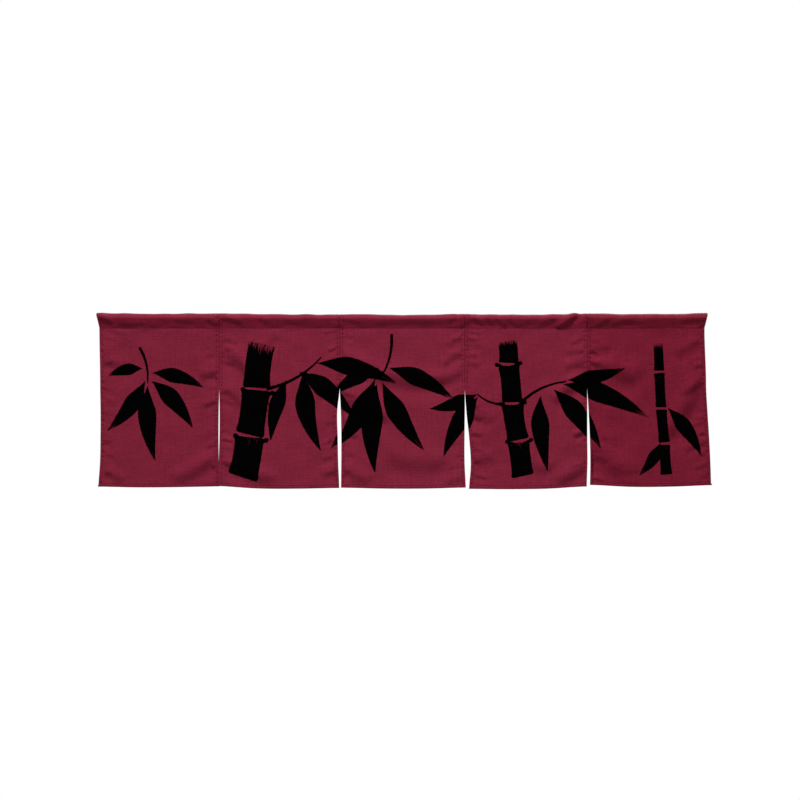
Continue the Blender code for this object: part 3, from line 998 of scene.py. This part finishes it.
def make_panel(number, materials):
    panel = Panel(number)
    across, level, shares = panel_grid(panel)
    front, back = panel.surface(across, level)
    flat_x = np.broadcast_to(panel.left_line + shares * (panel.right_line - panel.left_line), across.shape)
    flat = np.stack([flat_x, level], -1)
    made = make_sheet(f"cloth_panel_{number}", front, back, flat, materials)
    print_attributes(made.data, flat)
    painted_light_and_shade_attributes(made.data, number)
    left, right = panel.edges(level)
    side = np.minimum(across, right - left - across)
    foot_row = (SIDE_STITCH, float(np.mean(right - left)) - SIDE_STITCH)
    stitch_attributes(made.data, (
        (np.abs(side - SIDE_STITCH), stitches_along(level, SIDE_ROW)),
        (np.abs(level - SIDE_ROW[0]), stitches_along(across, foot_row)),
        (np.abs(level - HEAD_STITCH), stitches_along(flat_x, HEAD_ROW)),
    ))
    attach(made, "root")
    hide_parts(f"panel_{number}")
    return made


def wall_curve(belly, count):
    """Shares from a wall's foot (0, 0) out to its widest point (1, 1). A higher belly bulges it more."""
    down = 1.0 - (1.0 - np.linspace(1.0, 0.0, count)) ** CROWDING_AT_FOOT
    return np.stack([(1.0 - down ** belly) ** (1.0 / belly), 1.0 - down], -1)


def sleeve_path():
    """The sleeve's middle line in section as y and height, which way is outward there, and the thickness.
    It runs from the stitching at the front, over the rod, to the turned-in tail at the back."""
    radius = SLEEVE_RADIUS - CLOTH / 2.0
    rise = SLEEVE_RISE - CLOTH / 2.0
    front_foot = np.array([FRONT_Y + CLOTH / 2.0, STITCH_LINE])
    back_foot = np.array([FRONT_Y + CLOTH + TAIL_THICKNESS / 2.0 + TAIL_GAP, STITCH_LINE + TAIL_RISE])
    turns = np.linspace(math.pi, 0.0, ARC_POINTS)
    arc = np.array([0.0, -SLEEVE_RISE]) + np.stack([radius * np.cos(turns), rise * np.sin(turns)], -1)
    front = front_foot + (arc[0] - front_foot) * wall_curve(FRONT_BELLY, FRONT_WALL_POINTS)
    rear = back_foot + (arc[-1] - back_foot) * wall_curve(REAR_BELLY, REAR_WALL_POINTS)
    tail_bottom = np.array([back_foot[0], TAIL_END])
    tail = np.linspace(back_foot, tail_bottom, TAIL_POINTS)[1:]
    path = np.concatenate([front[:-1], arc, rear[-2::-1], tail])
    path[1:-1] = (path[:-2] + 2.0 * path[1:-1] + path[2:]) / 4.0
    step = np.gradient(path, axis=0)
    step = step / np.linalg.norm(step, axis=1, keepdims=True)
    outward = np.stack([-step[:, 1], step[:, 0]], -1)
    above_end = path[:, 1] - TAIL_END
    is_back = np.arange(len(path)) > len(path) // 2
    in_tail = np.where(is_back, 1.0 - ease((above_end - (STITCH_LINE - TAIL_END)) / TAIL_BLEND), 0.0)
    thickness = CLOTH + (TAIL_THICKNESS - CLOTH) * in_tail
    end = np.clip(1.0 - above_end / TAIL_ROUND, 0.0, TAIL_ROUND_LIMIT)
    thickness = np.where(is_back, thickness * np.sqrt(1.0 - end ** 2), thickness)
    return path, outward, thickness


def make_sleeve(number, material):
    """One panel's width of the sleeve, and how long its cloth is in section."""
    path, outward, thickness = sleeve_path()
    run = np.concatenate([[0.0], np.cumsum(np.linalg.norm(np.diff(path, axis=0), axis=1))])[:, None]
    path_y, height = path[:, 0][:, None], path[:, 1][:, None]
    normal_y, normal_z = outward[:, 0][:, None], outward[:, 1][:, None]
    thickness = thickness[:, None]
    left_line, right_line = SEAM_LINES[number - 1], SEAM_LINES[number]
    is_first, is_last = number == 1, number == len(HANGS)
    lower = np.clip(height / STITCH_LINE, 0.0, 1.0)
    left = left_line - SEAM_OVERLAP
    right = right_line + SEAM_OVERLAP
    if is_first:
        left = -SLEEVE_HALF_LENGTH + LEFT_END_SLANT * lower
    if is_last:
        right = SLEEVE_HALF_LENGTH - RIGHT_END_SLANT * lower
    across = stops(right_line - left_line, True, True)[None, :]
    x = left + (right - left) * (across / (right_line - left_line)) + np.zeros(height.shape)
    z = height + top_edge_height(x) * (1.0 - lower)

    from_left, from_right = across, across[:, -1:] - across
    edge = np.minimum(from_left, from_right)
    row = 2.0 * number + (from_left > from_right)
    over_rod = np.clip(normal_z, 0.0, 1.0)
    forward = np.clip(-normal_y + OVER_TOP * over_rod, 0.0, 1.0)
    creases = sum(fold_offset(crease, x, z) for crease in SLEEVE_CREASES)
    creases = creases + ripple(x * SLEEVE_RIPPLE_SQUEEZE, run)
    pull = SLEEVE_PULL * stitch_pull(edge, run, row) + seam_crevice(number, from_left, from_right)
    pull = pull * (1.0 - TAUT_OVER_ROD * over_rod)
    free = ease((z - STITCH_LINE) / SLEEVE_SEWN_RUN)
    y = path_y + (1.0 - free) * head_pull(x, np.minimum(z, STITCH_LINE))
    end_distance = from_left if is_first else from_right
    curl_share = np.clip(1.0 - end_distance / END_CURL_RUN, 0.0, 1.0) if is_first or is_last else 0.0
    hem_offset, hem_thickness = edge_profile(edge, SLEEVE_EDGE_CURL)
    hem_round = hem_offset * ease((z - TAIL_END) / TAIL_HEM_RUN)
    inward = (creases * forward + pull) * free + hem_round + END_CURL * curl_share ** 2
    outer_offset = thickness / 2.0 - inward
    swell = 1.0 + (np.minimum(hem_thickness, SLEEVE_HEM) / CLOTH - 1.0) * free
    inner_offset = outer_offset - thickness * swell + hem_round * (1.0 - free)
    inner_offset = np.minimum(inner_offset, outer_offset - LEAST_THICKNESS)
    outer = np.stack([x, y + normal_y * outer_offset, z + normal_z * outer_offset], -1)
    inner = np.stack([x, y + normal_y * inner_offset, z + normal_z * inner_offset], -1)

    flat_run = np.broadcast_to(run, x.shape)
    flat = np.stack([np.broadcast_to(left_line + across, x.shape), flat_run], -1)
    made = make_sheet(f"cloth_sleeve_{number}", outer[::-1], inner[::-1], flat[::-1], [material])
    painted_light_and_shade_attributes(made.data, number)
    off_row = np.broadcast_to(np.abs(edge - SIDE_STITCH), x.shape)
    stitch_attributes(made.data, ((off_row[::-1], flat_run[::-1] / STITCH_PITCH),))
    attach(made, "root")
    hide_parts("rod_sleeve")
    return made, float(run[-1, 0])


def is_inked(x, z):
    """1 where the print covers a place on the flat cloth, else 0."""
    nearest = np.min([stroke_distance(stroke, x, z)[0] for stroke in STROKES], axis=0)
    return np.where(nearest < 0.0, 1.0, 0.0)


def make_stitches(name, starts, ends, outs, inked, material):
    """Short thread capsules from starts to ends whose tips dive into the cloth. outs point off the surface,
    and inked is 1 for a stitch under the print."""
    middle = (starts + ends) / 2.0
    run = ends - starts
    side = np.cross(run / np.linalg.norm(run, axis=1, keepdims=True), outs)
    points = []
    for ring in STITCH_RINGS:
        centre = middle + run * ring.along + outs * (THREAD_PROUD + ring.rise * THREAD_RADIUS)
        radius = THREAD_RADIUS * ring.size
        for i in range(STITCH_SIDES):
            angle = 2.0 * math.pi * (i + 0.5) / STITCH_SIDES
            points.append(centre + side * (radius * math.cos(angle)) + outs * (radius * math.sin(angle)))
    point_count = len(points)
    last = point_count - STITCH_SIDES
    template = []
    for low in range(0, last, STITCH_SIDES):
        high = low + STITCH_SIDES
        for i in range(STITCH_SIDES):
            j = (i + 1) % STITCH_SIDES
            template.append((low + i, low + j, high + j, high + i))
    template.append(tuple(reversed(range(STITCH_SIDES))))
    template.append(tuple(range(last, point_count)))
    offsets = np.arange(len(starts))[:, None, None] * point_count
    faces = (np.array(template)[None] + offsets).reshape(-1, 4)
    mesh = make_mesh(name, np.stack(points, 1), faces, [material])
    set_attribute(mesh, "inked", np.repeat(inked, point_count))
    made = show_mesh(name, mesh)
    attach(made, "root")
    return made


def stitch_count(first, last):
    return int((last - first) / STITCH_PITCH)


def stitch_places(first, last):
    """Where the stitches of a row begin and end."""
    count = stitch_count(first, last)
    starts = first + (np.arange(count) + 0.5 * (1.0 - STITCH_LENGTH / STITCH_PITCH)) * (last - first) / count
    return starts, starts + STITCH_LENGTH


def stitches_along(place, row):
    """How many stitches lie between the start of a row and each place."""
    first, last = row
    return (place - first) / (last - first) * stitch_count(first, last)


def stitch_attributes(mesh, rows):
    """Each point's distance to the nearest stitch row and its place along it. rows holds such pairs."""
    set_on_both_sides(mesh, ("stitch_off", "stitch_along"), reduce(nearer, rows))


def make_panel_stitching(number, material):
    """The rows along a panel's side hems and foot hem, at the front and at the back."""
    panel = Panel(number)
    starts, ends, outs, inked = [], [], [], []

    def panel_width(level):
        left, right = panel.edges(level)
        return right - left

    def add_row(first_across, first_level, last_across, last_level):
        sewn_width = panel.right_line - panel.left_line
        flat_x = panel.left_line + first_across / panel_width(first_level) * sewn_width
        first = panel.surface(first_across, first_level)
        last = panel.surface(last_across, last_level)
        for side, out in enumerate((-1.0, 1.0)):
            starts.append(first[side])
            ends.append(last[side])
            outs.append(np.tile([0.0, out, 0.0], (len(flat_x), 1)))
            inked.append(is_inked(flat_x, first_level) * (side == 0))

    begin, end = stitch_places(*SIDE_ROW)
    near = np.full(len(begin), SIDE_STITCH)
    add_row(near, begin, near, end)
    add_row(panel_width(begin) - SIDE_STITCH, begin, panel_width(end) - SIDE_STITCH, end)
    foot_width = float(panel_width(np.array(FOOT_LINE + FOOT_STITCH)))
    begin, end = stitch_places(SIDE_STITCH, foot_width - SIDE_STITCH)
    level = np.full(len(begin), FOOT_LINE + FOOT_STITCH)
    add_row(begin, level, end, level)
    return make_stitches(f"stitching_panel_{number}", np.concatenate(starts), np.concatenate(ends),
                         np.concatenate(outs), np.concatenate(inked), material)


def make_head_stitching(material):
    """The long row that closes the sleeve, at the front and on its tail at the back."""
    begin, end = stitch_places(*HEAD_ROW)
    z = np.full(len(begin), HEAD_STITCH)
    sides = (FRONT_Y, FRONT_Y + CLOTH + TAIL_THICKNESS + TAIL_GAP)
    starts = np.concatenate([np.stack([begin, side + head_pull(begin, z), z], -1) for side in sides])
    ends = np.concatenate([np.stack([end, side + head_pull(end, z), z], -1) for side in sides])
    out = np.array([[0.0, -1.0, 0.0]] * len(begin) + [[0.0, 1.0, 0.0]] * len(begin))
    return make_stitches("stitching_head", starts, ends, out, np.zeros(len(out)), material)


def make_floor():
    bpy.ops.mesh.primitive_circle_add(vertices=FLOOR_SIDES, radius=FLOOR_RADIUS, fill_type="NGON")
    floor = bpy.context.object
    floor.location.z = FLOOR_Z
    floor.name = "floor"
    material, _, shader = new_material("pale_floor")
    shader.inputs["Base Color"].default_value = FLOOR_COLOUR
    shader.inputs["Roughness"].default_value = FLOOR_ROUGHNESS
    floor.data.materials.append(material)


def make_camera():
    data = bpy.data.cameras.new("camera")
    data.sensor_width = SENSOR_WIDTH
    data.lens = SENSOR_WIDTH * CAMERA_DISTANCE / (PICTURE_PIXELS * PICTURE_MM_PER_PIXEL * MM)
    data.clip_end = CAMERA_REACH
    camera = bpy.data.objects.new("camera", data)
    camera.location = (CAMERA_X * MM, -CAMERA_DISTANCE, CAMERA_Z * MM)
    camera.rotation_euler = (math.pi / 2.0, 0.0, 0.0)
    bpy.context.scene.collection.objects.link(camera)
    bpy.context.scene.camera = camera


def add_area_light(light):
    data = bpy.data.lights.new(light.name, "AREA")
    data.shape = "RECTANGLE"
    data.size, data.size_y = light.size
    data.energy = light.power
    made = bpy.data.objects.new(light.name, data)
    made.location = light.place
    made.rotation_euler = (Vector(LIT_PLACE) - Vector(light.place)).to_track_quat("-Z", "Y").to_euler()
    bpy.context.scene.collection.objects.link(made)


def light_the_scene():
    """The lights, and a surround that looks plain white and lights more from above than from below."""
    for light in LIGHTS:
        add_area_light(light)
    world = bpy.data.worlds.new("surround")
    world.use_nodes = True
    tree = world.node_tree
    seen = add_node(tree, "ShaderNodeLightPath").outputs["Is Camera Ray"]
    direction = add_node(tree, "ShaderNodeTexCoord").outputs["Generated"]
    height = add_node(tree, "ShaderNodeSeparateXYZ", [(0, direction)]).outputs["Z"]
    ambient = ranged(tree, height, -AMBIENT_BLEND, AMBIENT_BLEND, *AMBIENT_BELOW_AND_ABOVE)
    unseen = maths(tree, "SUBTRACT", 1.0, seen)
    strength = maths(tree, "MULTIPLY_ADD", unseen, ambient, seen)
    tree.links.new(strength, tree.nodes["Background"].inputs["Strength"])
    tree.nodes["Background"].inputs["Color"].default_value = (1.0, 1.0, 1.0, 1.0)
    bpy.context.scene.world = world
    bpy.context.scene.view_settings.view_transform = "Standard"


make_camera()
light_the_scene()
make_floor()
front_cloth = cloth_material("printed_cloth", PANEL_COLOURS_WITH_PAINTED_SHEEN, PANEL_SHINE, 1.0)
back_cloth = cloth_material("cloth_back", PANEL_COLOURS_WITH_PAINTED_SHEEN, PANEL_SHINE, BACK_PRINT_STRENGTH)
sleeve_cloth = cloth_material("sleeve_cloth", SLEEVE_COLOURS, SLEEVE_SHINE)
thread = thread_material()
for number in range(1, len(HANGS) + 1):
    panel = make_panel(number, [front_cloth, back_cloth])
    sleeve, sleeve_run = make_sleeve(number, sleeve_cloth)
    stitching = make_panel_stitching(number, thread)
make_head_stitching(thread)
